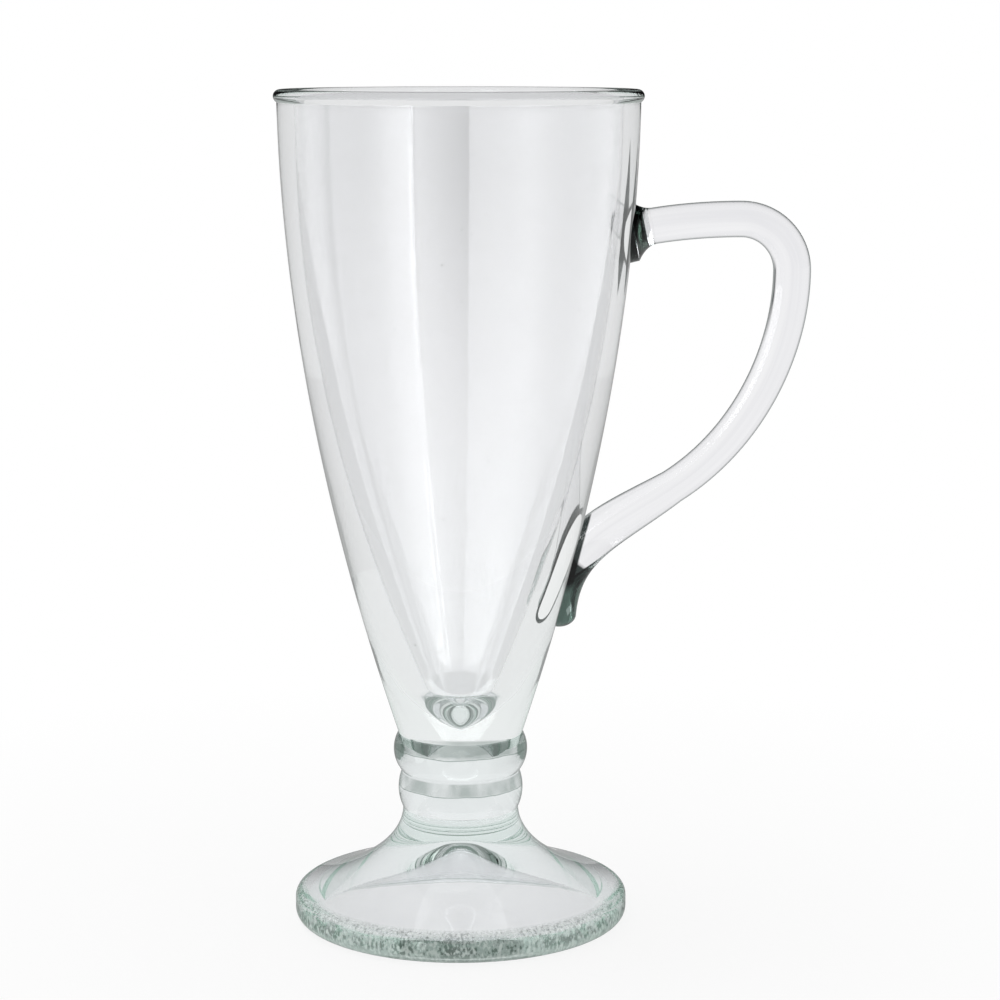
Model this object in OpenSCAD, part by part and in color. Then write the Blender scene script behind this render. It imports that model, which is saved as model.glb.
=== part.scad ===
// Tall footed glass mug: a flaring bowl on a ringed stem and a hollow foot,
// with a loop handle fused to the bowl's wall at two roots.
// Millimetres, +Z up, origin on the mug's axis at the table, handle towards +X.

/* [Bowl] */
// Height of the rim above the table
mug_h = 175; // [165:0.5:190]
// Outer radius of the bowl's wall at the rim
rim_r = 37.3; // [34:0.1:41]
// Radius of the bowl where it meets the stem
neck_r = 13.15; // [12.6:0.05:15]
// How quickly the bowl swells above the neck (1 is a straight cone)
swell = 1.85; // [1.5:0.01:2.1]
// Wall thickness at the rim
wall_t = 3.6; // [2.8:0.1:4.4]
// How much more quickly the hollow swells than the bowl's outside, which thickens the wall lower down
hollow_swell = 0.37; // [0.2:0.01:0.5]
// Thickness of the glass under the bowl's floor, down to the neck
floor_t = 3.2; // [2:0.1:6]
// Radius of the hollow where its pointed tip starts
tip_r = 7.8; // [5:0.1:9]
// Height of the pointed tip that ends the hollow
tip_h = 7.6; // [4:0.1:10]
// How round the tip is (1 is a cone, 2 a bowl)
tip_curve = 1.45; // [1.1:0.05:2]
// Radius that rounds the lip
lip_r = 1.4; // [0.8:0.1:1.4]
// How far the rim's bead stands proud of the wall
bead = 0.7; // [0.3:0.1:0.8]

/* [Stem] */
// Height of the upper ring
upper_ring_h = 8.3; // [6:0.1:12]
// How far the upper ring bulges
upper_bulge = 1.35; // [0.6:0.05:2]
// Radius of the groove between the two rings
groove_r = 12.45; // [11.5:0.05:14]
// Height of the lower ring
lower_ring_h = 8; // [6:0.1:12]
// How far the lower ring bulges
lower_bulge = 0.85; // [0.4:0.05:2]
// Radius of the waist between the lower ring and the foot
waist_r = 12.25; // [11:0.05:14]

/* [Foot] */
// Height of the foot, from the table to the waist
foot_h = 23.9; // [22:0.1:28]
// Outer radius of the foot
foot_r = 35.3; // [33:0.1:40]
// Slope of the flare where it runs into the edge, in degrees
flare_angle = 16; // [12:0.5:20]
// Pull that carries the flare's curve down from the waist
flare_fall = 6.6; // [4:0.1:9]
// Pull that carries the flare's curve inwards from the edge
flare_run = 14.5; // [10:0.1:18]
// Height at which the edge's upper round starts
edge_h = 4.5; // [3:0.1:5.5]
// Radius of the edge's upper round
edge_round = 2; // [1:0.1:3]
// Radius of the edge's lower corner
base_round = 2.4; // [0.6:0.1:2.8]
// Radius of the hollow's mouth under the foot
hollow_r = 29; // [26:0.1:29.5]
// Slope of the hollow's sides, in degrees
hollow_angle = 28.6; // [22:0.1:31]
// Radius that rounds the hollow's top
hollow_tip_r = 7; // [2:0.5:10]

/* [Handle] */
// Distance of the handle's outermost point from the mug's axis
handle_reach = 72.7; // [66:0.1:80]
// Depth of the upper root's centre below the rim
root_drop = 29.7; // [22:0.1:34]
// Rise of the upper arm from its root to its top
arm_rise = 3.2; // [0:0.1:6]
// Radius of the bend between the upper arm and the grip
bend_r = 10.6; // [8:0.1:14]
// Thickness of the upper arm
arm_t = 7.5; // [6:0.1:9]
// Thickness of the grip at its outermost point
grip_t = 7.8; // [6:0.1:10]
// Thickness of the lower arm
low_arm_t = 7.2; // [6:0.1:9]
// Width of the grip across the handle's plane, which sets how oval the whole handle is
grip_w = 8.8; // [7.4:0.1:11.4]
// Distance of the lower arm's middle from the mug's axis
low_arm_x = 44.5; // [40:0.1:50]
// Slope of the lower arm at its middle, in degrees
low_arm_slope = 33; // [26:0.5:40]
// Height of the lower arm's middle above the tail's end
low_arm_rise = 29.9; // [26:0.1:36]
// Extra half thickness of the heel, where the lower arm turns down the wall
heel_t = 1; // [0:0.05:1.6]
// Height of the tail's end above the neck
tail_rise = 22.6; // [18:0.1:28]
// How far the tail stands proud of the wall
tail_t = 3.6; // [2.6:0.1:4.4]
// Length of the tail's rounded end
tail_cap = 2.7; // [1.5:0.1:4]
// Extra half thickness of the upper root at the wall
root_flare = 2.8; // [1.5:0.1:4.5]
// Distance from the wall over which the upper root narrows
root_flare_l = 4.4; // [3.4:0.2:9]
// Depth that the roots are carried into the bowl before the wall trims them
root_sink = 4; // [3:0.5:6]

/* [Hidden] */
$fn = 96;
glass = [0.86, 0.9, 0.88, 0.55];

// Points along each curve of an outline
wall_steps = 40;
arc_steps = 10;
tip_steps = 12;
// Sides of the handle's section, and rings along each stretch of its path
handle_sides = 20;
stretch_rings = [14, 9, 14, 15];
cap_rings = 5;
// Pulls of each stretch's curve at its start and its end, as shares of the stretch's length
pulls = [[0.3, 0.33], [0.39, 0.39], [0.31, 0.38], [0.45, 0.42]];
// Angle round the tail's rounded end at which it is closed off flat
cap_angle = 84;

// Heights of the joints in the stack
groove_z = foot_h + lower_ring_h;
neck_z = groove_z + upper_ring_h;
floor_z = neck_z + floor_t;

// Outer radius of the bowl at height z
function bowl_r(z) =
    neck_r + (rim_r - neck_r) * (1 - pow((mug_h - z) / (mug_h - neck_z), swell));

// Radius of the bowl's hollow at height z above its tip
function lining_r(z) =
    tip_r + (rim_r - wall_t - tip_r)
        * (1 - pow((mug_h - z) / (mug_h - floor_z - tip_h), swell + hollow_swell));

// Points on an arc about a centre, from one angle to another
function arc(centre, r, from, to, steps) =
    [for (i = [0 : steps])
        let (a = from + (to - from) * i / steps)
        centre + r * [cos(a), sin(a)]];

// Points on the arc from p to q that bulges to the right of the way from p to q
function bulged(p, q, bulge, steps) =
    let (half = norm(q - p) / 2,
         r = (half * half + bulge * bulge) / (2 * bulge),
         along = (q - p) / (2 * half),
         out = [along.y, -along.x],
         centre = (p + q) / 2 - out * (r - bulge),
         start = atan2((p - centre).y, (p - centre).x),
         end = atan2((q - centre).y, (q - centre).x))
    arc(centre, r, start, end, steps);

// The bead meets the wall where its circle crosses the rim's radius
bead_angle = acos((lip_r - bead) / lip_r);
bead_z = mug_h - lip_r - lip_r * sin(bead_angle);
lip_z = mug_h - lip_r;

bowl_outside =
    [for (i = [0 : wall_steps - 1])
        let (z = neck_z + (bead_z - neck_z) * i / wall_steps)
        [bowl_r(z), z]];
bowl_lip = concat(
    arc([rim_r + bead - lip_r, lip_z], lip_r, -bead_angle, 90, arc_steps),
    arc([rim_r - wall_t + lip_r, lip_z], lip_r, 90, 180, arc_steps));
bowl_lining =
    [for (i = [1 : wall_steps - 1])
        let (z = lip_z + (floor_z + tip_h - lip_z) * i / wall_steps)
        [lining_r(z), z]];
bowl_tip =
    [for (i = [0 : tip_steps - 1])
        let (share = 1 - i / tip_steps)
        [tip_r * share, floor_z + tip_h * pow(share, tip_curve)]];

// Point on the curve that leaves p[0] towards p[1] and reaches p[3] from p[2], and its heading there
function bezier(p, t) =
    pow(1 - t, 3) * p[0] + 3 * pow(1 - t, 2) * t * p[1]
    + 3 * (1 - t) * t * t * p[2] + pow(t, 3) * p[3];
function bezier_heading(p, t) =
    let (d = pow(1 - t, 2) * (p[1] - p[0]) + 2 * (1 - t) * t * (p[2] - p[1]) + t * t * (p[3] - p[2]))
    atan2(d.y, d.x);

// The flare leaves the waist upright and runs into the edge's round without a kink
edge_centre = [foot_r - edge_round, edge_h];
flare_end = edge_centre + edge_round * [sin(flare_angle), cos(flare_angle)];
flare_curve = [
    [waist_r, foot_h],
    [waist_r, foot_h - flare_fall],
    flare_end + flare_run * [-cos(flare_angle), sin(flare_angle)],
    flare_end];
foot_flare = [for (i = [0 : wall_steps - 1]) bezier(flare_curve, i / wall_steps)];
foot_edge = concat(
    arc(edge_centre, edge_round, 90 - flare_angle, 0, arc_steps),
    arc([foot_r - base_round, base_round], base_round, 0, -90, arc_steps));
hollow_tip_z = hollow_r * tan(hollow_angle) - hollow_tip_r / cos(hollow_angle);
foot_hollow = concat(
    [[hollow_r, 0]],
    arc([0, hollow_tip_z], hollow_tip_r, 90 - hollow_angle, 90, arc_steps));

// The handle's path in its own plane: each station has a place, a heading and a half thickness
root_z = mug_h - root_drop;
root_x = bowl_r(root_z);
grip_x = handle_reach - grip_t / 2;
arm_z = root_z + arm_rise;
tail_z = neck_z + tail_rise + tail_cap;
low_arm_z = tail_z - tail_cap + low_arm_rise;
stations = [
    [[root_x - root_sink, root_z], atan2(2 * arm_rise, grip_x - bend_r - root_x), arm_t / 2],
    [[grip_x - bend_r, arm_z], 0, arm_t / 2],
    [[grip_x, arm_z - bend_r], -90, grip_t / 2],
    [[low_arm_x, low_arm_z], low_arm_slope - 180, low_arm_t / 2],
    [[bowl_r(tail_z), tail_z], -90, tail_t]];

// Half thickness of the path's stretch k at t, with the flare of the upper root and the heel's swelling
function smooth(t) = t * t * (3 - 2 * t);
function half_t(k, t, place) =
    let (plain = stations[k][2] + (stations[k + 1][2] - stations[k][2]) * smooth(t),
         off_wall = max(0, place.x - root_x),
         flare = k == 0 && off_wall < root_flare_l
             ? root_flare * pow(1 - off_wall / root_flare_l, 2) : 0,
         swelling = k == 3 ? 4 * heel_t * t * (1 - t) : 0)
    plain + flare + swelling;

// Rings of the sweep: place, heading and half thickness
function stretch(k) =
    let (a = stations[k], b = stations[k + 1],
         length = norm(b[0] - a[0]),
         p = [a[0], a[0] + pulls[k][0] * length * [cos(a[1]), sin(a[1])],
              b[0] - pulls[k][1] * length * [cos(b[1]), sin(b[1])], b[0]])
    [for (i = [0 : stretch_rings[k] - 1])
        let (t = i / stretch_rings[k], place = bezier(p, t))
        [place, bezier_heading(p, t), half_t(k, t, place)]];
tail = stations[4];
tail_rings =
    [for (i = [0 : cap_rings])
        let (a = cap_angle * i / cap_rings)
        [tail[0] + tail_cap * sin(a) * [cos(tail[1]), sin(tail[1])], tail[1], tail[2] * cos(a)]];
rings = concat(stretch(0), stretch(1), stretch(2), stretch(3), tail_rings);

// A ring's points: across the path in its plane, and along Y
function ring_points(ring) =
    [for (i = [0 : handle_sides - 1])
        let (a = 360 * i / handle_sides,
             in_plane = ring[2] * cos(a),
             across = ring[2] * grip_w / grip_t * sin(a))
        [ring[0].x - sin(ring[1]) * in_plane, across, ring[0].y + cos(ring[1]) * in_plane]];
handle_points = [for (ring = rings) each ring_points(ring)];
function at(ring, side) = ring * handle_sides + side % handle_sides;
last_ring = len(rings) - 1;
handle_faces = concat(
    [[for (i = [0 : handle_sides - 1]) i]],
    [for (k = [0 : last_ring - 1], i = [0 : handle_sides - 1])
        each [[at(k, i), at(k + 1, i), at(k + 1, i + 1)],
              [at(k, i), at(k + 1, i + 1), at(k, i + 1)]]],
    [[for (i = [handle_sides - 1 : -1 : 0]) at(last_ring, i)]]);

// A solid turned about the mug's axis from an outline
module turned(outline) {
    rotate_extrude()
        polygon(outline);
}

module bowl() {
    color(glass)
        turned(concat([[0, neck_z]], bowl_outside, bowl_lip, bowl_lining, bowl_tip, [[0, floor_z]]));
}

// The bowl's outer form with no hollow, which trims the handle's roots to the wall
module bowl_form() {
    turned(concat([[0, neck_z]], bowl_outside, [[rim_r, bead_z], [0, bead_z]]));
}

module stem_ring(low, high, bulge) {
    turned(concat([[0, low.y]], bulged(low, high, bulge, 2 * arc_steps), [[0, high.y]]));
}

module upper_ring() {
    color(glass)
        stem_ring([groove_r, groove_z], [neck_r, neck_z], upper_bulge);
}

module lower_ring() {
    color(glass)
        stem_ring([waist_r, foot_h], [groove_r, groove_z], lower_bulge);
}

module foot() {
    color(glass)
        turned(concat([[0, foot_h]], foot_flare, foot_edge, foot_hollow));
}

module handle() {
    color(glass)
        difference() {
            polyhedron(handle_points, handle_faces);
            bowl_form();
        }
}

bowl();
upper_ring();
lower_ring();
foot();
handle();
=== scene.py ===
"""Looks of a tall footed glass mug: bowl, stem rings, foot and handle in clear glass, on a white table."""

import math

import bpy
from bpy.props import FloatProperty, FloatVectorProperty, IntProperty, PointerProperty
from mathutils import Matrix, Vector
from mathutils.bvhtree import BVHTree


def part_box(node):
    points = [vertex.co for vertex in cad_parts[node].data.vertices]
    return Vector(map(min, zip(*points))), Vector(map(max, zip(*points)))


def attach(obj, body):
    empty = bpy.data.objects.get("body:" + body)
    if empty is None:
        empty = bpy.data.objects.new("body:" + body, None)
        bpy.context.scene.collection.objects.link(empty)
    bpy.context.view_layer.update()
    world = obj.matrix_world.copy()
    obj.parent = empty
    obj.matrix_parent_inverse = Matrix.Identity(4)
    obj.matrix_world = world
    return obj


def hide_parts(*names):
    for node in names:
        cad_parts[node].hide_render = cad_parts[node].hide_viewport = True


bl_info = {
    "name": "Footed glass mug",
    "version": (1, 0, 0),
    "blender": (4, 5, 0),
    "location": "View3D > Sidebar > Mug",
    "description": "Builds a footed glass mug over its packed solids",
    "category": "Add Mesh",
}

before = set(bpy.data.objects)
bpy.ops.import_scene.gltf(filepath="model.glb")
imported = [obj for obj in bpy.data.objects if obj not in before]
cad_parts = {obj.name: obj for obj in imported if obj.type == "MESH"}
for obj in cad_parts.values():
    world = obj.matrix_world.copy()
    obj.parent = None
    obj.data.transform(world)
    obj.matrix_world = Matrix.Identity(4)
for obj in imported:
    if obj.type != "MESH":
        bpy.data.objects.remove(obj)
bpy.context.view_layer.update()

# Tolerances of the shapes, in metres
HALF_GAP = 0.000005
SAME_POINT = 0.0000008
AT_WELD = 0.00002
AT_WALL = 0.00001
AT_TRIM = 0.00003

# Depth of the bowl's wall in the handle's glass, in millimetres
NOT_MEASURED = -99.0
MEASURED = -60

# Sizes of marks in the glass, and of the painted shade and highlight on it, in metres
TRAP_LOW, TRAP_HIGH = 0.07, 0.115
PALE_TOP = 0.16
ROOT_SHADE_SIDE, ROOT_SHADE_HALF_W = 0.0075, 0.0018
RING_BAND_H, RING_BAND_WAVE = 0.0036, 0.0009
TAIL_SHADE_H = 0.0084
HIGHLIGHT_OFF_WALL, HIGHLIGHT_DROP = 0.0019, 0.0068
ROOT_ABOVE_TAIL, ROOT_BOW = 0.03, 0.0008

# Brightness of mirrored windows: on the outside, and seen across the bowl
OUTER_MIRROR, FAR_MIRROR = 0.08, 1.6

# Colours of marks in the glass, and of the painted shade, light and highlights on it
# Painted shade where the glass is seen edge on
EDGE_ON_SHADE = (0.12, 0.14, 0.135)
MOULD_STREAK = (0.6, 0.6, 0.61)
STEM_UNEVEN = (0.62, 0.66, 0.66)
FOOT_UNEVEN = (0.62, 0.64, 0.66)
DRAWN_STREAK = (0.93, 0.93, 0.94)
# Paler where the foot's edge is stippled or lined, most on its upper round
EDGE_PALE_STIPPLE = (0.72, 0.8, 0.765)
# Painted light along the bottom of the foot's edge
EDGE_LOW = (0.72, 0.82, 0.765)
# Painted highlights on the grain of the foot's edge
EDGE_GLINT = (0.85, 0.93, 0.88)
EDGE_SPECK = (0.02, 0.06, 0.035)


def length(name, description, default):
    """A size in metres that a user would change."""
    return FloatProperty(
        name=name, description=description, default=default, min=0, unit="LENGTH", precision=5
    )


def turn_angle(name, description, degrees):
    """An angle that a user would change."""
    return FloatProperty(name=name, description=description, default=math.radians(degrees), unit="ROTATION")


def number(name, description, default):
    """A plain number that a user would change."""
    return FloatProperty(name=name, description=description, default=default, precision=4)


def colour(name, description, default):
    """A colour that a user would change."""
    return FloatVectorProperty(
        name=name, description=description, default=default, size=len(default), min=0, max=1, subtype="COLOR"
    )


class MugBowlSizes(bpy.types.PropertyGroup):
    """Sizes of the bowl."""

    mug_h: length("Mug height", "Height of the rim above the table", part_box("bowl")[1].z)
    rim_r: length("Rim radius", "Outer radius of the wall at the rim", 0.0373)
    neck_r: length("Neck radius", "Radius where the bowl meets the stem", 0.01315)
    swell: number("Swell", "How quickly the bowl swells above the neck", 1.85)
    wall_t: length("Wall at the rim", "Wall thickness at the rim", 0.0036)
    hollow_swell: number("Hollow swell", "How much more quickly the hollow swells than the outside", 0.37)
    floor_t: length("Floor", "Glass under the bowl's floor", 0.0032)
    tip_r: length("Tip radius", "Radius of the hollow where its pointed tip starts", 0.0078)
    tip_h: length("Tip height", "Height of the pointed tip that ends the hollow", 0.0076)
    tip_curve: number("Tip curve", "How round the tip is: 1 is a cone, 2 a bowl", 1.45)
    lip_r: length("Lip round", "Radius that rounds the lip", 0.0014)
    bead: length("Bead", "How far the rim's bead stands proud", 0.0007)
    sides: IntProperty(name="Sides", description="Steps round the mug's axis", default=256, min=48, max=320)


class MugStemSizes(bpy.types.PropertyGroup):
    """Sizes of the two rings of the stem."""

    upper_h: length("Upper ring", "Height of the upper ring", 0.0083)
    upper_bulge: length("Upper bulge", "How far the upper ring bulges", 0.00135)
    groove_r: length("Groove radius", "Radius of the groove between the rings", 0.01245)
    lower_h: length("Lower ring", "Height of the lower ring", 0.008)
    lower_bulge: length("Lower bulge", "How far the lower ring bulges", 0.00085)
    waist_r: length("Waist radius", "Radius between the lower ring and the foot", 0.01225)


class MugFootSizes(bpy.types.PropertyGroup):
    """Sizes of the foot."""

    foot_h: length("Foot height", "Height from the table to the waist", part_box("foot")[1].z)
    foot_r: length("Foot radius", "Outer radius of the foot", 0.0353)
    flare_angle: turn_angle("Flare", "Slope of the flare where it meets the edge", 16)
    flare_fall: length("Flare fall", "Pull that carries the flare down from the waist", 0.0066)
    flare_run: length("Flare run", "Pull that carries the flare inwards from the edge", 0.0145)
    edge_h: length("Edge height", "Height at which the edge's upper round starts", 0.0045)
    edge_round: length("Edge round", "Radius of the edge's upper round", 0.002)
    base_round: length("Base round", "Radius of the edge's lower corner", 0.0024)
    hollow_r: length("Hollow radius", "Radius of the hollow's mouth", 0.029)
    hollow_angle: turn_angle("Hollow slope", "Slope of the hollow's sides", 28.6)
    hollow_tip_r: length("Hollow tip", "Radius that rounds the hollow's top", 0.007)


class MugHandleSizes(bpy.types.PropertyGroup):
    """Sizes of the handle."""

    reach: length("Reach", "Outermost point from the axis", 0.0727)
    root_drop: length("Root drop", "Upper root's centre below the rim", 0.0297)
    arm_rise: length("Arm rise", "Rise of the upper arm to its top", 0.0032)
    bend_r: length("Bend", "Radius of the bend between arm and grip", 0.0106)
    arm_t: length("Arm", "Thickness of the upper arm", 0.0075)
    grip_t: length("Grip", "Thickness of the grip", 0.0078)
    grip_w: length("Grip width", "Width of the grip across the handle's plane", 0.0088)
    low_arm_t: length("Lower arm", "Thickness of the lower arm", 0.0072)
    low_arm_x: length("Lower arm place", "Lower arm's middle from the axis", 0.0445)
    low_arm_slope: turn_angle("Lower arm slope", "Slope of the lower arm at its middle", 33)
    low_arm_rise: length("Lower arm rise", "Lower arm's middle above the tail's end", 0.0299)
    heel_t: length("Heel", "Extra half thickness of the heel", 0.001)
    tail_rise: length("Tail rise", "Tail's end above the neck", 0.0226)
    tail_t: length("Tail", "How far the tail stands proud of the wall", 0.0036)
    tail_cap: length("Tail round", "Length of the tail's rounded end", 0.0027)
    root_flare: length("Root flare", "Extra half thickness of the upper root", 0.0028)
    root_flare_l: length("Root flare length", "Distance over which the upper root narrows", 0.0044)
    root_sink: length("Root sink", "Depth that the roots are carried into the wall", 0.004)
    sides: IntProperty(name="Sides", description="Sides of the handle's section", default=48, min=16, max=96)


class MugGlass(bpy.types.PropertyGroup):
    """Finish of the glass."""

    bowl_tint: colour("Bowl tint", "Colour of the bowl's glass", (0.815, 0.815, 0.825))
    low_bowl_tint: colour("Low bowl tint", "Colour of the bowl's glass near the neck", (0.885, 0.885, 0.895))
    stem_tint: colour("Stem tint", "Colour of the stem's glass", (0.87, 0.87, 0.89))
    foot_tint: colour("Foot tint", "Colour of the foot's glass", (0.87, 0.87, 0.89))
    handle_tint: colour("Handle tint", "Colour of the handle's glass", (0.8, 0.8, 0.825))
    depth_colour: colour("Depth colour", "Colour that thick glass takes", (0.55, 0.86, 0.72))
    bowl_depth: number("Bowl depth", "How strongly the bowl's thick glass takes the depth colour", 4)
    stem_depth: number("Stem depth", "How strongly the stem's thick glass takes the depth colour", 5)
    foot_depth: number("Foot depth", "How strongly the foot's thick glass takes the depth colour", 6)
    # Painted shade along the handle's welds, beside its upper root, along its tail's top and inside its bend
    # takes this colour, and so do the bowl's seeds
    shade_and_seed_colour: colour("Weld colour", "Colour of the handle's weld lines", (0.0008, 0.0015, 0.0013))
    # Painted shade along the top of each ring of the stem takes this colour
    ring_shade_colour: colour("Ring colour", "Colour along the top of each ring of the stem", (0.16, 0.21, 0.19))
    # The handle's thick tail: the green of thick glass, darkened by painted shade
    tail_shade_colour: colour("Tail colour", "Colour of the handle's thick tail", (0.1, 0.155, 0.135))
    edge_colour: colour("Edge colour", "Colour of the foot's pressed edge", (0.36, 0.46, 0.42))
    ripple: number("Ripple", "How uneven the glass is", 0.25)
    ior: number("Index of refraction", "How strongly the glass bends light", 1.52)


class MugStudio(bpy.types.PropertyGroup):
    """The camera's place, pitch and lens."""

    camera_place: FloatVectorProperty(
        name="Camera place",
        description="Where the camera stands",
        default=(0.0084, -0.573, 0.1842),
        subtype="TRANSLATION",
        unit="LENGTH",
    )
    camera_pitch: turn_angle("Camera pitch", "How far the camera looks down", 9.357)
    lens: FloatProperty(name="Lens", description="Focal length", default=99.738, unit="CAMERA")


# Sockets as numbers


class Sock:
    """A node socket that takes part in Python sums."""

    def __init__(self, tree, socket):
        self.tree = tree
        self.socket = socket

    def node(self, kind, settings=None, **inputs):
        return add_node(self.tree, kind, settings, **inputs)

    def math(self, operation, a, b=None):
        node = self.tree.nodes.new("ShaderNodeMath")
        node.operation = operation
        for i, value in enumerate((a, b)):
            if isinstance(value, Sock):
                self.tree.links.new(value.socket, node.inputs[i])
            elif value is not None:
                node.inputs[i].default_value = value
        return Sock(self.tree, node.outputs[0])

    def __add__(self, other):
        return self.math("ADD", self, other)

    def __radd__(self, other):
        return self.math("ADD", other, self)

    def __sub__(self, other):
        return self.math("SUBTRACT", self, other)

    def __rsub__(self, other):
        return self.math("SUBTRACT", other, self)

    def __mul__(self, other):
        return self.math("MULTIPLY", self, other)

    def __gt__(self, other):
        return self.math("GREATER_THAN", self, other)

    def __lt__(self, other):
        return self.math("LESS_THAN", self, other)

    def __abs__(self):
        return self.math("ABSOLUTE", self)

    def most(self, other):
        return self.math("MAXIMUM", self, other)

    def at_least(self, count):
        """1 where a whole number is this count or more."""
        return self > count - 0.5

    def at_most(self, count):
        """1 where a whole number is this count or less."""
        return self < count + 0.5


def add_node(tree, kind, settings=None, **inputs):
    """Adds a node: its settings, then the values or links of its sockets. Returns its outputs by name."""
    node = tree.nodes.new(kind)
    for name, value in (settings or {}).items():
        setattr(node, name, value)
    for name, value in inputs.items():
        socket = node.inputs[int(name[1:])] if name[0] == "_" else node.inputs[name.replace("_", " ")]
        if isinstance(value, Sock):
            tree.links.new(value.socket, socket)
        else:
            socket.default_value = value
    return {out.name: Sock(tree, out) for out in node.outputs if out.enabled}


def attribute(tree, name):
    """A number that is stored on the mesh."""
    return add_node(tree, "ShaderNodeAttribute", {"attribute_name": name})["Fac"]


def ramp(value, start, end, low=0.0, high=1.0):
    """Goes from low to high as the value goes from start to end, and stays level outside."""
    return value.node("ShaderNodeMapRange", None, _0=value, _1=start, _2=end, _3=low, _4=high)["Result"]


def blend(share, a, b):
    """Mixes two colours."""
    a, b = (c if isinstance(c, Sock) else (*c[:3], 1) for c in (a, b))
    return share.node("ShaderNodeMix", {"data_type": "RGBA"}, _0=share, _6=a, _7=b)["Result"]


def height_of(place):
    """Height above the table."""
    return place.node("ShaderNodeSeparateXYZ", None, Vector=place)["Z"]


def cloud(place, stretch, detail=2.0):
    """Soft noise over a place, stretched by a factor along each axis."""
    vector = place.node("ShaderNodeVectorMath", {"operation": "MULTIPLY"}, _0=place, _1=stretch)["Vector"]
    return place.node("ShaderNodeTexNoise", None, Vector=vector, Scale=1.0, Detail=detail)["Fac"]


def seeds(place, spacing, share):
    """Sparse specks: 1 inside tiny bubbles, 0 elsewhere."""
    cells = place.node("ShaderNodeTexVoronoi", None, Vector=place, Scale=1 / spacing)
    draw = place.node("ShaderNodeSeparateColor", None, Color=cells["Color"])["Red"]
    return (draw < share) * ramp(cells["Distance"], 0.06, 0.09, 1, 0)


def shaded_edge_on(tint, start, end):
    """Paints shade on the glass where it is seen edge on from outside."""
    edge_on = tint.node("ShaderNodeLayerWeight")["Facing"]
    from_inside = tint.node("ShaderNodeNewGeometry")["Backfacing"]
    return blend(ramp(edge_on, start, end) * (1 - from_inside), tint, EDGE_ON_SHADE)


def slanted(tree):
    """How much the painted shade by the handle's root shows: fully at a slant or from within its wall, barely
    face on or across the bowl.
    """
    barely = 0.12
    edge_on = add_node(tree, "ShaderNodeLayerWeight")["Facing"]
    from_inside = add_node(tree, "ShaderNodeNewGeometry")["Backfacing"]
    ray = add_node(tree, "ShaderNodeLightPath")
    own_wall = ray["Transmission Depth"].at_most(1) * ray["Glossy Depth"].at_most(2)
    outer = ramp(edge_on, 0.5, 0.6, barely, 1) * (1 - from_inside)
    return outer + from_inside * (own_wall * (1 - barely) + barely)


def mirrored_far(tree):
    """1 for light that was mirrored in the far wall of the bowl."""
    ray = add_node(tree, "ShaderNodeLightPath")
    return ray["Glossy Depth"].at_least(1) * ray["Transmission Depth"].at_least(3)


def trapped(tree, place):
    """1 for light that runs round inside the bowl's wall, which is let out there instead of being lost."""
    height, ray = height_of(place), add_node(tree, "ShaderNodeLightPath")
    in_wall = (height > TRAP_LOW) * (height < TRAP_HIGH) * ray["Transparent Depth"].at_most(0)
    return ray["Glossy Depth"].at_least(3) * in_wall


def root_shade_lines(cover, height, side):
    """Painted shade on the wall by the handle's upper root: a line on each side, pointed above and below."""
    rise = height - HandlePath(bpy.context.scene).root_z
    narrowing, widening = ramp(rise, 0.005, 0.0205), ramp(rise, -0.0125, -0.005)
    half_w = narrowing * -ROOT_SHADE_HALF_W + widening * ROOT_SHADE_HALF_W
    return ramp(abs(side - ROOT_SHADE_SIDE) - half_w, -0.0001, 0.0, 1, 0) * (cover > MEASURED)


def bowl_look(tree, finish, place):
    """Paler towards the neck, faintly streaked from the mould, with seeds, and painted shade along the
    handle's welds and beside its upper root.
    """
    apart = place.node("ShaderNodeSeparateXYZ", None, Vector=place)
    height, side = apart["Z"], abs(apart["Y"])
    share = ramp(height, Heights(bpy.context.scene).neck, PALE_TOP)
    streaks = cloud(place, (160, 160, 12))
    tint = blend(share, finish.low_bowl_tint, finish.bowl_tint)
    tint = blend(ramp(streaks, 0.35, 0.75, 0, 0.06), tint, MOULD_STREAK)
    cover = attribute(tree, "handle_cover")
    # Painted shade round the handle's welds and beside its upper root, strongest at a slant
    weld_shade = ramp(cover, -1.05, -0.9)
    dark = weld_shade.most(root_shade_lines(cover, height, side)) * slanted(tree) * (1 - mirrored_far(tree))
    tint = blend(dark.most(seeds(place, 0.003, 0.06) * 0.4), tint, finish.shade_and_seed_colour)
    return shaded_edge_on(tint, 0.84, 0.97), streaks * 0.7 + cloud(place, (900, 900, 500)) * 0.05


def stem_look(tree, finish, place):
    """Faintly uneven, as pressed, with green painted shade along the top of each ring, where light runs round
    in it.
    """
    heights, height = Heights(bpy.context.scene), height_of(place)
    uneven, runs = cloud(place, (220, 220, 400)), cloud(place, (170, 170, 60))
    tint = blend(ramp(uneven, 0.3, 0.7, 0, 0.12), finish.stem_tint, STEM_UNEVEN)
    # Painted shade in a wavy band and a line along the top of each ring
    for top in (heights.neck, heights.groove):
        foot_line = height - (top - RING_BAND_H) - runs * RING_BAND_WAVE
        band = ramp(foot_line, 0.0, 0.0004) * ramp(height, top - 0.0004, top - 0.0001, 1, 0)
        line = ramp(foot_line, 0.0, 0.0001) * ramp(foot_line, 0.0002, 0.0003, 1, 0)
        tint = blend((band * ramp(runs, 0.38, 0.6, 0.1, 0.8)).most(line), tint, finish.ring_shade_colour)
    return shaded_edge_on(tint, 0.7, 0.88), uneven


def foot_look(tree, finish, place):
    """Faintly uneven, as pressed."""
    uneven = cloud(place, (150, 150, 150))
    tint = blend(ramp(uneven, 0.3, 0.7, 0, 0.1), finish.foot_tint, FOOT_UNEVEN)
    return shaded_edge_on(tint, 0.7, 0.9), uneven


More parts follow.
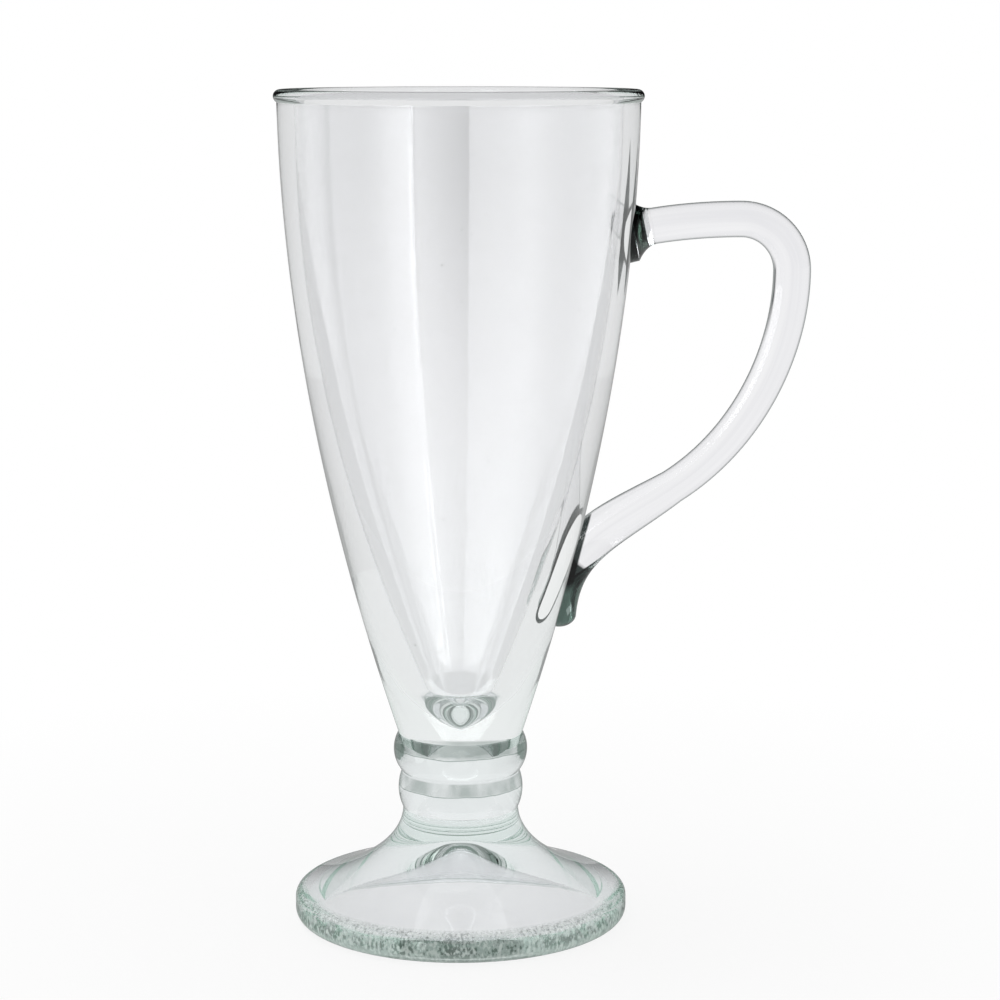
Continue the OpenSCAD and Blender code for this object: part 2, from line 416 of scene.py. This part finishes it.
def tail_highlight(height, off_wall, tail_top):
    """A painted highlight: a pale spot left clear in the painted shade of the handle's tail."""
    off_spot = abs(off_wall - HIGHLIGHT_OFF_WALL) * 2.2 + abs(height - (tail_top - HIGHLIGHT_DROP))
    return ramp(off_spot, 0.0012, 0.0014, 1, 0)


def bend_shade_line(tree, along, across):
    """Painted shade in a line inside the handle's bend, which shows at a slant."""
    inside = ramp(along, 0.038, 0.043) * ramp(along, 0.05, 0.06, 1, 0) * ramp(across, -0.92, -0.84, 1, 0)
    return inside * ramp(add_node(tree, "ShaderNodeLayerWeight")["Facing"], 0.4, 0.55)


def handle_look(tree, finish, place):
    """Streaked along its length from drawing, with painted shade where it is welded to the wall, over its
    tail and inside its bend, and a painted highlight in its tail.
    """
    across, along = attribute(tree, "across"), attribute(tree, "along")
    drawn = place.node("ShaderNodeCombineXYZ", None, X=across * 2.2, Y=along * 9)["Vector"]
    streaks = drawn.node("ShaderNodeTexNoise", None, Vector=drawn, Scale=1.0, Detail=3.0)["Fac"]
    tint = blend(ramp(streaks, 0.35, 0.65), finish.handle_tint, DRAWN_STREAK)
    height, off_wall = height_of(place), attribute(tree, "off_wall")
    tail_top = HandlePath(bpy.context.scene).tail_z + TAIL_SHADE_H
    # Painted shade over the tail, with a painted shade line along its top
    below = (tail_top + off_wall * 0.8 - height) * ramp(off_wall, 0.0065, 0.0075, 1, 0)
    tail = ramp(below, 0.0, 0.0003) * (1 - tail_highlight(height, off_wall, tail_top))
    tint = blend(tail, tint, finish.tail_shade_colour)
    tail_shade_line = ramp(below, 0.0, 0.0002) * ramp(below, 0.0008, 0.0012, 1, 0)
    at_root = height > tail_top + ROOT_ABOVE_TAIL
    from_weld = off_wall + at_root * across * across * -ROOT_BOW
    # Painted shade along the wall where the handle is welded to it
    weld_shade = ramp(from_weld, 0.0011, 0.0014, 1, 0) * ramp(below, 0.0015, 0.004, 1, 0.3)
    dark = weld_shade.most(tail_shade_line).most(bend_shade_line(tree, along, across))
    return shaded_edge_on(blend(dark, tint, finish.shade_and_seed_colour), 0.55, 0.75), streaks


def frosted(tree, finish, place):
    """The pressed edge of the foot: matt green glass with a coarse speckle, painted light along its bottom
    and painted highlights on its grain.
    """
    foot = bpy.context.scene.mug_foot
    height = height_of(place)
    round_share = ramp(height, foot.edge_h - 0.001, foot.edge_h + 0.0005)
    stipple = cloud(place, (2300, 2300, 1500), 3.0)
    lines = ramp(cloud(place, (40, 40, 2600)), 0.4, 0.65, 0, 0.5) * ramp(height, 0.0005, foot.edge_h, 1, 0.2)
    rough = (ramp(stipple, 0.38, 0.62) * (0.25 + round_share * 0.75)).most(lines)
    tone = blend(rough, finish.edge_colour, EDGE_PALE_STIPPLE)
    grain, patches = cloud(place, (1500, 1500, 900), 3.0), cloud(place, (160, 160, 160))
    # Painted light: paler along the bottom of the edge
    low = ramp(height, foot.edge_h * 0.3, foot.edge_h * 0.6, 1, 0)
    tone = blend(low * 0.5, tone, EDGE_LOW)
    # Painted highlights on the grain
    tone = blend(ramp(grain, 0.54, 0.6) * 0.65, tone, EDGE_GLINT)
    specks = ramp(grain + patches * 0.4, 0.64, 0.68, 1, 0) * (1 - low * 0.8)
    tone = blend(specks * 0.85, tone, EDGE_SPECK)
    bump = add_node(tree, "ShaderNodeBump", Strength=0.5, Distance=0.0002, Height=stipple)["Normal"]
    matt = add_node(tree, "ShaderNodeBsdfPrincipled", Base_Color=tone, Roughness=0.35, Normal=bump)["BSDF"]
    flat = place.node("ShaderNodeVectorMath", {"operation": "MULTIPLY"}, _0=place, _1=(1, 1, 0))["Vector"]
    out = flat.node("ShaderNodeVectorMath", {"operation": "LENGTH"}, _0=flat)["Value"]
    at_edge = ramp(out, foot.foot_r - 0.0026, foot.foot_r - 0.001)
    outside = 1 - add_node(tree, "ShaderNodeNewGeometry")["Backfacing"]
    return matt, outside * at_edge * (0.7 - round_share * ramp(stipple, 0.4, 0.6, 0.5, 0.1))


LOOKS = {"bowl": bowl_look, "stem": stem_look, "foot": foot_look, "handle": handle_look}


def presence(part, tree, place):
    """0 on faces that are welded to another piece and for light that is let through, 1 elsewhere."""
    weld = attribute(tree, "weld")
    welded = weld.at_least(1).most(attribute(tree, "handle_cover") > 0.0)
    if part == "bowl":
        plain_wall = mirrored_far(tree) * weld.at_most(0)
        return 1 - (welded * (1 - plain_wall)).most(trapped(tree, place))
    if part == "handle":
        return (1 - welded) * (1 - mirrored_far(tree))
    return 1 - welded


def clear_glass(part):
    """One piece's glass: its look, its ripple and the colour that it takes where it is thick."""
    finish = bpy.context.scene.mug_glass
    material = bpy.data.materials.new(part + "_glass")
    material.use_nodes = True
    tree = material.node_tree
    tree.nodes.clear()
    place = add_node(tree, "ShaderNodeTexCoord")["Object"]
    tint, relief = LOOKS[part](tree, finish, place)
    bump = add_node(tree, "ShaderNodeBump", Strength=finish.ripple, Distance=0.0001, Height=relief)
    surface = add_node(
        tree,
        "ShaderNodeBsdfPrincipled",
        Base_Color=tint,
        Roughness=0.0,
        IOR=finish.ior,
        Transmission_Weight=1.0,
        Alpha=presence(part, tree, place),
        Normal=bump["Normal"],
    )["BSDF"]
    if part == "foot":
        matt, share = frosted(tree, finish, place)
        surface = add_node(tree, "ShaderNodeMixShader", _0=share, _1=surface, _2=matt)["Shader"]
    links = {"Surface": surface}
    if part != "handle":
        density = getattr(finish, part + "_depth")
        links["Volume"] = add_node(
            tree, "ShaderNodeVolumeAbsorption", Color=(*finish.depth_colour, 1), Density=density
        )["Volume"]
    add_node(tree, "ShaderNodeOutputMaterial", **links)
    return material


# Modelling


def start_clean():
    """Object mode with nothing selected."""
    if bpy.context.object and bpy.context.object.mode != "OBJECT":
        bpy.ops.object.mode_set(mode="OBJECT")
    bpy.ops.object.select_all(action="DESELECT")


def pick(piece):
    """Object mode with one piece selected and active."""
    start_clean()
    piece.select_set(True)
    bpy.context.view_layer.objects.active = piece


def smooth(piece, degrees=35):
    """Smooth shading that keeps the edges sharper than an angle."""
    pick(piece)
    bpy.ops.object.shade_smooth_by_angle(angle=math.radians(degrees))
    start_clean()


def turn(name, outline, sides):
    """A solid of revolution: an outline drawn by extruding a point, then spun about the mug's axis."""
    start_clean()
    bpy.ops.mesh.primitive_plane_add(size=0.001, location=(0, 0, 0))
    piece = bpy.context.object
    piece.name = piece.data.name = name
    bpy.ops.object.mode_set(mode="EDIT")
    bpy.ops.mesh.merge(type="CENTER")
    at = Vector((0, 0, 0))
    for i, (r, z) in enumerate(outline):
        step = Vector((r, 0, z)) - at
        if i:
            bpy.ops.mesh.extrude_vertices_move(TRANSFORM_OT_translate={"value": step})
        else:
            bpy.ops.transform.translate(value=step)
        at += step
    bpy.ops.mesh.select_all(action="SELECT")
    bpy.ops.mesh.spin(steps=sides, angle=2 * math.pi, center=(0, 0, 0), axis=(0, 0, 1))
    bpy.ops.mesh.select_all(action="SELECT")
    bpy.ops.mesh.remove_doubles(threshold=SAME_POINT)
    bpy.ops.mesh.normals_make_consistent(inside=False)
    bpy.ops.object.mode_set(mode="OBJECT")
    return piece


def mark(piece, name, domain, values):
    """Stores one number for each face or point of a piece."""
    layer = piece.data.attributes.new(name, "FLOAT", domain)
    layer.data.foreach_set("value", values)


def mark_welds(piece, *heights):
    """Marks the flat faces that are welded to the piece above or below."""
    flat = [p.center.z if abs(p.normal.z) > 0.999 else math.inf for p in piece.data.polygons]
    mark(piece, "weld", "FACE", [float(any(abs(level - z) < AT_WELD for z in heights)) for level in flat])


def finish_piece(piece, node, material):
    """Gives a piece its glass and hands it to the frame."""
    piece.data.materials.clear()
    piece.data.materials.append(material)
    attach(piece, "root")
    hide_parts(node)


def arc(centre, r, start, end, steps):
    """Points on an arc, from one angle in degrees to another."""
    angles = [math.radians(start + (end - start) * i / steps) for i in range(steps + 1)]
    return [(centre[0] + r * math.cos(a), centre[1] + r * math.sin(a)) for a in angles]


def bulged(p, q, bulge, steps):
    """Points on the arc from p to q that bulges to the right of the way from p to q."""
    p, q = Vector(p), Vector(q)
    half = (q - p).length / 2
    r = (half * half + bulge * bulge) / (2 * bulge)
    along = (q - p) / (2 * half)
    centre = (p + q) / 2 - Vector((along.y, -along.x)) * (r - bulge)
    angles = [math.degrees(math.atan2((e - centre).y, (e - centre).x)) for e in (p, q)]
    return arc(centre, r, *angles, steps)


def bezier(p, t):
    """Point on the curve that leaves p[0] towards p[1] and reaches p[3] from p[2]."""
    u = 1 - t
    return u**3 * p[0] + 3 * u * u * t * p[1] + 3 * u * t * t * p[2] + t**3 * p[3]


class Heights:
    """Heights of the joints in the stack, and the bowl's radii."""

    def __init__(self, scene):
        self.bowl, stem, foot = scene.mug_bowl, scene.mug_stem, scene.mug_foot
        self.waist = foot.foot_h
        self.groove = self.waist + stem.lower_h
        self.neck = self.groove + stem.upper_h
        self.floor = self.neck + self.bowl.floor_t
        self.lip = self.bowl.mug_h - self.bowl.lip_r
        self.bead_angle = math.degrees(math.acos((self.bowl.lip_r - self.bowl.bead) / self.bowl.lip_r))
        self.bead = self.lip - self.bowl.lip_r * math.sin(math.radians(self.bead_angle))

    def outside(self, z):
        b = self.bowl
        share = max(0, (b.mug_h - z) / (b.mug_h - self.neck))
        return b.neck_r + (b.rim_r - b.neck_r) * (1 - share**b.swell)

    def lining(self, z):
        b = self.bowl
        share = (b.mug_h - z) / (b.mug_h - self.floor - b.tip_h)
        return b.tip_r + (b.rim_r - b.wall_t - b.tip_r) * (1 - share ** (b.swell + b.hollow_swell))

    def off_wall(self, place):
        """How far a place lies outside the bowl's wall."""
        return math.hypot(place.x, place.y) - self.outside(place.z)

    def wall(self, grow=0.0, steps=110):
        """The wall's outside from the neck to the bead."""
        rows = [self.neck + (self.bead - self.neck) * i / steps for i in range(steps + 1)]
        return [(self.outside(z) + grow, z) for z in rows]


class MUG_OT_bowl(bpy.types.Operator):
    """Turns the bowl with its bead, its wall and its pointed tip"""

    bl_idname = "mug.bowl"
    bl_label = "Bowl"
    outer_lip_steps, inner_lip_steps = 16, 12
    lining_steps, tip_steps = 100, 40

    def execute(self, context):
        b, h = context.scene.mug_bowl, Heights(context.scene)
        bottom = h.neck + HALF_GAP
        outline = [(0, bottom), (b.neck_r, bottom)]
        outline += h.wall()[1:-1]
        outline += arc((b.rim_r + b.bead - b.lip_r, h.lip), b.lip_r, -h.bead_angle, 90, self.outer_lip_steps)
        outline += arc((b.rim_r - b.wall_t + b.lip_r, h.lip), b.lip_r, 90, 180, self.inner_lip_steps)
        tip_top = h.floor + b.tip_h
        rows = [h.lip + (tip_top - h.lip) * i / self.lining_steps for i in range(1, self.lining_steps)]
        outline += [(h.lining(z), z) for z in rows]
        shares = [1 - i / self.tip_steps for i in range(self.tip_steps + 1)]
        outline += [(b.tip_r * share, h.floor + b.tip_h * share**b.tip_curve) for share in shares]
        piece = turn("glass_bowl", outline, b.sides)
        mark_welds(piece, bottom)
        smooth(piece)
        finish_piece(piece, "bowl", clear_glass("bowl"))
        return {"FINISHED"}


class MUG_OT_stem(bpy.types.Operator):
    """Turns the two rings of the stem"""

    bl_idname = "mug.stem"
    bl_label = "Stem rings"
    bulge_steps = 40

    def execute(self, context):
        s, h = context.scene.mug_stem, Heights(context.scene)
        material = clear_glass("stem")
        rings = {
            "upper_ring": ((s.groove_r, h.groove), (h.bowl.neck_r, h.neck), s.upper_bulge),
            "lower_ring": ((s.waist_r, h.waist), (s.groove_r, h.groove), s.lower_bulge),
        }
        for node, (low, high, bulge) in rings.items():
            low, high = (low[0], low[1] + HALF_GAP), (high[0], high[1] - HALF_GAP)
            outline = [(0, low[1]), *bulged(low, high, bulge, self.bulge_steps), (0, high[1])]
            piece = turn("glass_" + node, outline, h.bowl.sides)
            mark_welds(piece, low[1], high[1])
            smooth(piece)
            finish_piece(piece, node, material)
        return {"FINISHED"}


class MUG_OT_foot(bpy.types.Operator):
    """Turns the flared foot with its thick edge and its hollow"""

    bl_idname = "mug.foot"
    bl_label = "Foot"
    flare_steps, edge_steps, base_steps = 80, 20, 10
    hollow_steps, hollow_tip_steps = 30, 16

    def execute(self, context):
        f, s, h = context.scene.mug_foot, context.scene.mug_stem, Heights(context.scene)
        top = f.foot_h - HALF_GAP
        edge = (f.foot_r - f.edge_round, f.edge_h)
        slope = math.degrees(f.flare_angle)
        waist, edge_top = Vector((s.waist_r, top)), Vector(arc(edge, f.edge_round, 90 - slope, 0, 1)[0])
        inwards = Vector((-math.cos(f.flare_angle), math.sin(f.flare_angle)))
        flare = (waist, waist - Vector((0, f.flare_fall)), edge_top + f.flare_run * inwards, edge_top)
        outline = [(0, top), *(bezier(flare, i / self.flare_steps) for i in range(self.flare_steps))]
        outline += arc(edge, f.edge_round, 90 - slope, 0, self.edge_steps)
        outline += arc((f.foot_r - f.base_round, f.base_round), f.base_round, 0, -90, self.base_steps)
        tip_z = f.hollow_r * math.tan(f.hollow_angle) - f.hollow_tip_r / math.cos(f.hollow_angle)
        tip_start = 90 - math.degrees(f.hollow_angle)
        tip = arc((0, tip_z), f.hollow_tip_r, tip_start, 90, self.hollow_tip_steps)
        (tip_r, tip_foot), n = tip[0], self.hollow_steps
        outline += [(f.hollow_r + (tip_r - f.hollow_r) * i / n, tip_foot * i / n) for i in range(n)]
        outline += tip
        piece = turn("glass_foot", outline, h.bowl.sides)
        mark_welds(piece, top)
        smooth(piece)
        finish_piece(piece, "foot", clear_glass("foot"))
        return {"FINISHED"}


class HandlePath:
    """The handle's path in its own plane, and its half thickness along it."""

    rings = (42, 27, 42, 45)
    cap_rings = 12
    cap_angle = 88
    pulls = ((0.3, 0.33), (0.39, 0.39), (0.31, 0.38), (0.45, 0.42))

    def __init__(self, scene):
        s, h = scene.mug_handle, Heights(scene)
        self.s = s
        root_z = h.bowl.mug_h - s.root_drop
        self.root_x = h.outside(root_z)
        grip_x = s.reach - s.grip_t / 2
        arm_z = root_z + s.arm_rise
        tail_z = h.neck + s.tail_rise + s.tail_cap
        low_arm_z = tail_z - s.tail_cap + s.low_arm_rise
        start = math.atan2(2 * s.arm_rise, grip_x - s.bend_r - self.root_x)
        self.stations = (
            (Vector((self.root_x - s.root_sink, root_z)), start, s.arm_t / 2),
            (Vector((grip_x - s.bend_r, arm_z)), 0, s.arm_t / 2),
            (Vector((grip_x, arm_z - s.bend_r)), -math.pi / 2, s.grip_t / 2),
            (Vector((s.low_arm_x, low_arm_z)), s.low_arm_slope - math.pi, s.low_arm_t / 2),
            (Vector((h.outside(tail_z), tail_z)), -math.pi / 2, s.tail_t),
        )
        self.root_z, self.tail_z = self.stations[0][0].y, self.stations[-1][0].y

    def half_t(self, k, t, place):
        a, b = self.stations[k][2], self.stations[k + 1][2]
        half = a + (b - a) * t * t * (3 - 2 * t)
        off_wall = max(0, place.x - self.root_x)
        if k == 0 and off_wall < self.s.root_flare_l:
            half += self.s.root_flare * (1 - off_wall / self.s.root_flare_l) ** 2
        if k == 3:
            half += 4 * self.s.heel_t * t * (1 - t)
        return half

    def walk(self):
        """Each ring of the sweep: place, heading and half thickness."""
        for k, count in enumerate(self.rings):
            (a, heading_a, _), (b, heading_b, _) = self.stations[k : k + 2]
            span = (b - a).length
            pull_a = Vector((math.cos(heading_a), math.sin(heading_a))) * span * self.pulls[k][0]
            pull_b = Vector((math.cos(heading_b), math.sin(heading_b))) * span * self.pulls[k][1]
            p = (a, a + pull_a, b - pull_b, b)
            for i in range(count):
                t = i / count
                u = 1 - t
                place = bezier(p, t)
                way = u * u * (p[1] - p[0]) + 2 * u * t * (p[2] - p[1]) + t * t * (p[3] - p[2])
                yield place, math.atan2(way.y, way.x), self.half_t(k, t, place)
        end, heading, half = self.stations[-1]
        for i in range(self.cap_rings):
            a = math.radians(self.cap_angle * i / (self.cap_rings - 1))
            yield end + Vector((0, -self.s.tail_cap * math.sin(a))), heading, half * math.cos(a)


class MUG_OT_handle(bpy.types.Operator):
    """Sweeps the handle along its path and welds its roots to the bowl"""

    bl_idname = "mug.handle"
    bl_label = "Handle"
    cover_half_w, cover_above_neck = 0.016, 0.001
    least_faces = 1000
    sharp_angle = 40

    def sweep(self, path, s):
        start_clean()
        place, heading, half = next(path)
        at = Vector((place.x, 0, place.y))
        lean = (0, math.pi / 2 - heading, 0)
        bpy.ops.mesh.primitive_circle_add(
            vertices=s.sides, radius=half, fill_type="NGON", location=at, rotation=lean
        )
        piece = bpy.context.object
        piece.name = piece.data.name = "glass_handle"
        bpy.ops.object.transform_apply(location=True, rotation=True, scale=True)
        bpy.ops.object.mode_set(mode="EDIT")
        bpy.ops.mesh.select_all(action="SELECT")
        bpy.ops.transform.resize(value=(1, s.grip_w / s.grip_t, 1), center_override=at)
        for place, new_heading, new_half in path:
            to = Vector((place.x, 0, place.y))
            bpy.ops.mesh.extrude_region_move(TRANSFORM_OT_translate={"value": to - at})
            bpy.ops.transform.rotate(value=new_heading - heading, orient_axis="Y", center_override=to)
            bpy.ops.transform.resize(value=(new_half / half,) * 3, center_override=to)
            at, heading, half = to, new_heading, new_half
        bpy.ops.mesh.merge(type="CENTER")
        bpy.ops.mesh.select_all(action="SELECT")
        bpy.ops.mesh.normals_make_consistent(inside=False)
        bpy.ops.object.mode_set(mode="OBJECT")
        return piece

    def cover_bowl(self, sweep, h):
        """Stores on the bowl how deep each point of its wall lies in the handle's glass."""
        bowl = bpy.data.objects["glass_bowl"]
        tree = BVHTree.FromPolygons(
            [v.co for v in sweep.data.vertices], [list(p.vertices) for p in sweep.data.polygons]
        )
        depths = []
        for v in bowl.data.vertices:
            depth = NOT_MEASURED
            on_wall = abs(h.off_wall(v.co)) < AT_WALL and h.neck + self.cover_above_neck < v.co.z < h.bead
            if on_wall and v.co.x > 0 and abs(v.co.y) < self.cover_half_w:
                near, normal, _, distance = tree.find_nearest(v.co)
                depth = 1000 * math.copysign(distance, (near - v.co).dot(normal))
            depths.append(depth)
        mark(bowl, "handle_cover", "POINT", depths)

    def mark_path(self, piece, h, path):
        """Stores on the handle each point's way off the wall and its place along and across the path."""
        rings, walked = [], 0.0
        for place, heading, half in path.walk():
            walked += (place - rings[-1][0]).length if rings else 0.0
            rings.append((place, Vector((-math.sin(heading), math.cos(heading))), half, walked))
        off_wall, across, along = [], [], []
        for v in piece.data.vertices:
            at = Vector((v.co.x, v.co.z))
            place, side, half, walked = min(rings, key=lambda ring: (ring[0] - at).length_squared)
            off_wall.append(h.off_wall(v.co))
            across.append((at - place).dot(side) / half)
            along.append(walked)
        mark(piece, "off_wall", "POINT", off_wall)
        mark(piece, "across", "POINT", across)
        mark(piece, "along", "POINT", along)

    def execute(self, context):
        s, h = context.scene.mug_handle, Heights(context.scene)
        path = HandlePath(context.scene)
        piece = self.sweep(path.walk(), s)
        self.cover_bowl(piece, h)
        wall = h.wall(HALF_GAP)
        form = turn("bowl_form", [(0, h.neck), *wall, (0, h.bead)], h.bowl.sides)
        pick(piece)
        trim = piece.modifiers.new("trim", "BOOLEAN")
        trim.operation, trim.solver, trim.object = "DIFFERENCE", "EXACT", form
        bpy.ops.object.modifier_apply(modifier=trim.name)
        bpy.data.objects.remove(form)
        if len(piece.data.polygons) < self.least_faces:
            raise RuntimeError("the handle was lost when it was trimmed to the wall")
        on_wall = [abs(h.off_wall(v.co)) < AT_TRIM for v in piece.data.vertices]
        mark(piece, "weld", "FACE", [float(all(on_wall[i] for i in p.vertices)) for p in piece.data.polygons])
        self.mark_path(piece, h, path)
        smooth(piece, self.sharp_angle)
        finish_piece(piece, "handle", clear_glass("handle"))
        piece.visible_glossy = False
        return {"FINISHED"}


def white_level(ray, windows=None):
    """Brightness of the white surroundings, which falls with each mirroring inside the glass."""
    mirrored = ray["Glossy Depth"]
    straight = mirrored.at_most(0)
    once = mirrored.at_most(1) - straight
    twice = mirrored.at_most(2) - straight - once
    more = 1 - straight - once - twice
    outside = ray["Transmission Depth"].at_most(0)
    freed = ray["Transmission Depth"].at_most(1)
    through = ray["Transmission Depth"].at_least(4)
    crossed = ray["Transparent Depth"].at_least(1)
    if windows:
        strength = outside * OUTER_MIRROR + through * FAR_MIRROR
        mirror = windows(outside) * strength + (1 - outside - through)
        dim = (0.9 - crossed * 0.55) * (1 - through) + through * 0.72
        seen = straight + once * mirror + twice * (1 - crossed * 0.2) + more * freed.most(dim)
    else:
        seen = straight + once * (1 - outside * 0.6) + twice * (1 - crossed * 0.1)
        seen = seen + more * (1 - crossed * 0.5)
    return seen.most(ray["Is Camera Ray"])


def window_level(tree, outside):
    """Brightness of what the glass mirrors: windows left and right, a dark gap between, dark sides behind.

    Angles are in degrees: around from the front, to the right, and up from level. A brightness of 1 is white.
    """
    way = add_node(tree, "ShaderNodeSeparateXYZ", Vector=add_node(tree, "ShaderNodeTexCoord")["Generated"])
    around = way["X"].math("ARCTAN2", way["X"], 0 - way["Y"]) * math.degrees(1)
    up = way["Z"].math("ARCSINE", way["Z"]) * math.degrees(1)

    left = ramp(around, -7, -6, 1, 0) * ramp(around, -52, -8, 3.7, 2.3) * ramp(around, -85, -52, 0.65, 1)
    gap = ramp(around, -6, -5, 0, 1) * ramp(around, -5, 33, 0, 2.8) * ramp(around, 33, 36, 1, 0)
    strip = ramp(around, 35, 36, 0, 1) * ramp(around, 38, 39, 1, 0)
    right = ramp(around, 35, 36, 0, 1) * ramp(around, 42, 74, 4.4, 2)
    notch = 1 - ramp(around, 112, 115, 0, 0.7) * ramp(around, 119, 123, 1, 0) * ramp(up, 4, 9, 1, 0)
    behind = ramp(around, -170, -140, 0.6, 1) * ramp(around, 140, 170, 1, 0.6)
    walls = (left + gap + right) * notch * behind
    off_front = abs(around)
    ceiling = ramp(up, 4, 20, 0, 0.8)
    panel = ceiling * ramp(off_front, 95, 105, 4, 0)
    front = 1 - outside * ramp(off_front, 105, 140, 0, 0.8)
    return (walls * (1 - ceiling) + panel + strip * 2.5) * front * ramp(up, 30, 38, 1, 0.2)


class MUG_OT_studio(bpy.types.Operator):
    """Sets the white table, the soft light and the camera"""

    bl_idname = "mug.studio"
    bl_label = "Studio"
    table_size, table_drop, table_grey = 12, 0.0002, 0.95
    shadow_start, shadow_end, shadow_share = 0.05, 0.22, 0.14
    room_level = 0.6
    panel_place, panel_size, panel_power = (-0.3, 0.2, 1.3), (0.9, 0.9), 4.0
    aim = (0, 0, 0.1)
    sensor_width = 36
    bounces, clear_bounces = 24, 64

    def table(self):
        start_clean()
        bpy.ops.mesh.primitive_plane_add(size=self.table_size, location=(0, 0, -self.table_drop))
        table = bpy.context.object
        table.name = table.data.name = "white_table"
        bpy.ops.object.transform_apply(location=True, rotation=True, scale=True)
        material = bpy.data.materials.new("white_table")
        material.use_nodes = True
        tree = material.node_tree
        tree.nodes.clear()
        ray = add_node(tree, "ShaderNodeLightPath")
        place = add_node(tree, "ShaderNodeTexCoord")["Object"]
        far = add_node(tree, "ShaderNodeVectorMath", {"operation": "LENGTH"}, _0=place)["Value"]
        near = ramp(far, self.shadow_start, self.shadow_end, self.shadow_share, 0)
        seen = ray["Is Camera Ray"].most(ray["Is Glossy Ray"]).most(ray["Is Transmission Ray"])
        glow = add_node(tree, "ShaderNodeEmission", Color=(1, 1, 1, 1), Strength=white_level(ray))["Emission"]
        matt = add_node(tree, "ShaderNodeBsdfDiffuse", Color=(*(self.table_grey,) * 3, 1))["BSDF"]
        both = add_node(tree, "ShaderNodeMixShader", _0=seen * (1 - near), _1=matt, _2=glow)["Shader"]
        add_node(tree, "ShaderNodeOutputMaterial", Surface=both)
        table.data.materials.append(material)

    def surroundings(self, scene):
        world = bpy.data.worlds.new("white_room")
        scene.world = world
        world.use_nodes = True
        tree = world.node_tree
        tree.nodes.clear()
        ray = add_node(tree, "ShaderNodeLightPath")
        plain = ray["Is Diffuse Ray"]
        shown = white_level(ray, lambda outside: window_level(tree, outside))
        level = shown * (1 - plain) + plain * self.room_level
        light = add_node(tree, "ShaderNodeBackground", Color=(1, 1, 1, 1), Strength=level)
        add_node(tree, "ShaderNodeOutputWorld", Surface=light["Background"])

    def softbox(self):
        start_clean()
        bpy.ops.object.light_add(type="AREA", location=self.panel_place)
        lamp = bpy.context.object
        lamp.name = lamp.data.name = "top_panel"
        lamp.data.shape = "RECTANGLE"
        lamp.data.size, lamp.data.size_y = self.panel_size
        lamp.data.energy = self.panel_power
        way = Vector(self.aim) - Vector(self.panel_place)
        lamp.rotation_euler = way.to_track_quat("-Z", "Y").to_euler()
        lamp.visible_camera = lamp.visible_glossy = lamp.visible_transmission = False

    def execute(self, context):
        scene, studio = context.scene, context.scene.mug_studio
        self.table()
        self.surroundings(scene)
        self.softbox()
        tilt = math.pi / 2 - studio.camera_pitch
        bpy.ops.object.camera_add(location=studio.camera_place, rotation=(tilt, 0, 0))
        camera = context.object
        camera.data.lens, camera.data.sensor_width = studio.lens, self.sensor_width
        scene.camera = camera
        scene.view_settings.view_transform = "Standard"
        cycles = scene.cycles
        cycles.max_bounces = cycles.transmission_bounces = cycles.glossy_bounces = self.bounces
        cycles.transparent_max_bounces = self.clear_bounces
        cycles.use_denoising = True
        return {"FINISHED"}


class MUG_PT_panel(bpy.types.Panel):
    """Lists the pieces of the mug"""

    bl_idname = "MUG_PT_panel"
    bl_label = "Footed glass mug"
    bl_space_type = "VIEW_3D"
    bl_region_type = "UI"
    bl_category = "Mug"

    def draw(self, context):
        for step in STEPS:
            self.layout.operator(step.bl_idname)
        for name in GROUPS:
            group = getattr(context.scene, name)
            box = self.layout.box()
            for key in group.bl_rna.properties.keys():
                if key not in {"rna_type", "name"}:
                    box.prop(group, key)


GROUPS = {
    "mug_bowl": MugBowlSizes,
    "mug_stem": MugStemSizes,
    "mug_foot": MugFootSizes,
    "mug_handle": MugHandleSizes,
    "mug_glass": MugGlass,
    "mug_studio": MugStudio,
}
STEPS = (MUG_OT_bowl, MUG_OT_stem, MUG_OT_foot, MUG_OT_handle, MUG_OT_studio)


def register():
    for cls in (*GROUPS.values(), *STEPS, MUG_PT_panel):
        bpy.utils.register_class(cls)
    for name, group in GROUPS.items():
        setattr(bpy.types.Scene, name, PointerProperty(type=group))


def unregister():
    for name in GROUPS:
        delattr(bpy.types.Scene, name)
    for cls in (MUG_PT_panel, *reversed(STEPS), *GROUPS.values()):
        bpy.utils.unregister_class(cls)


def main():
    register()
    bpy.ops.mug.bowl()
    bpy.ops.mug.stem()
    bpy.ops.mug.foot()
    bpy.ops.mug.handle()
    bpy.ops.mug.studio()


if __name__ == "__main__":
    main()
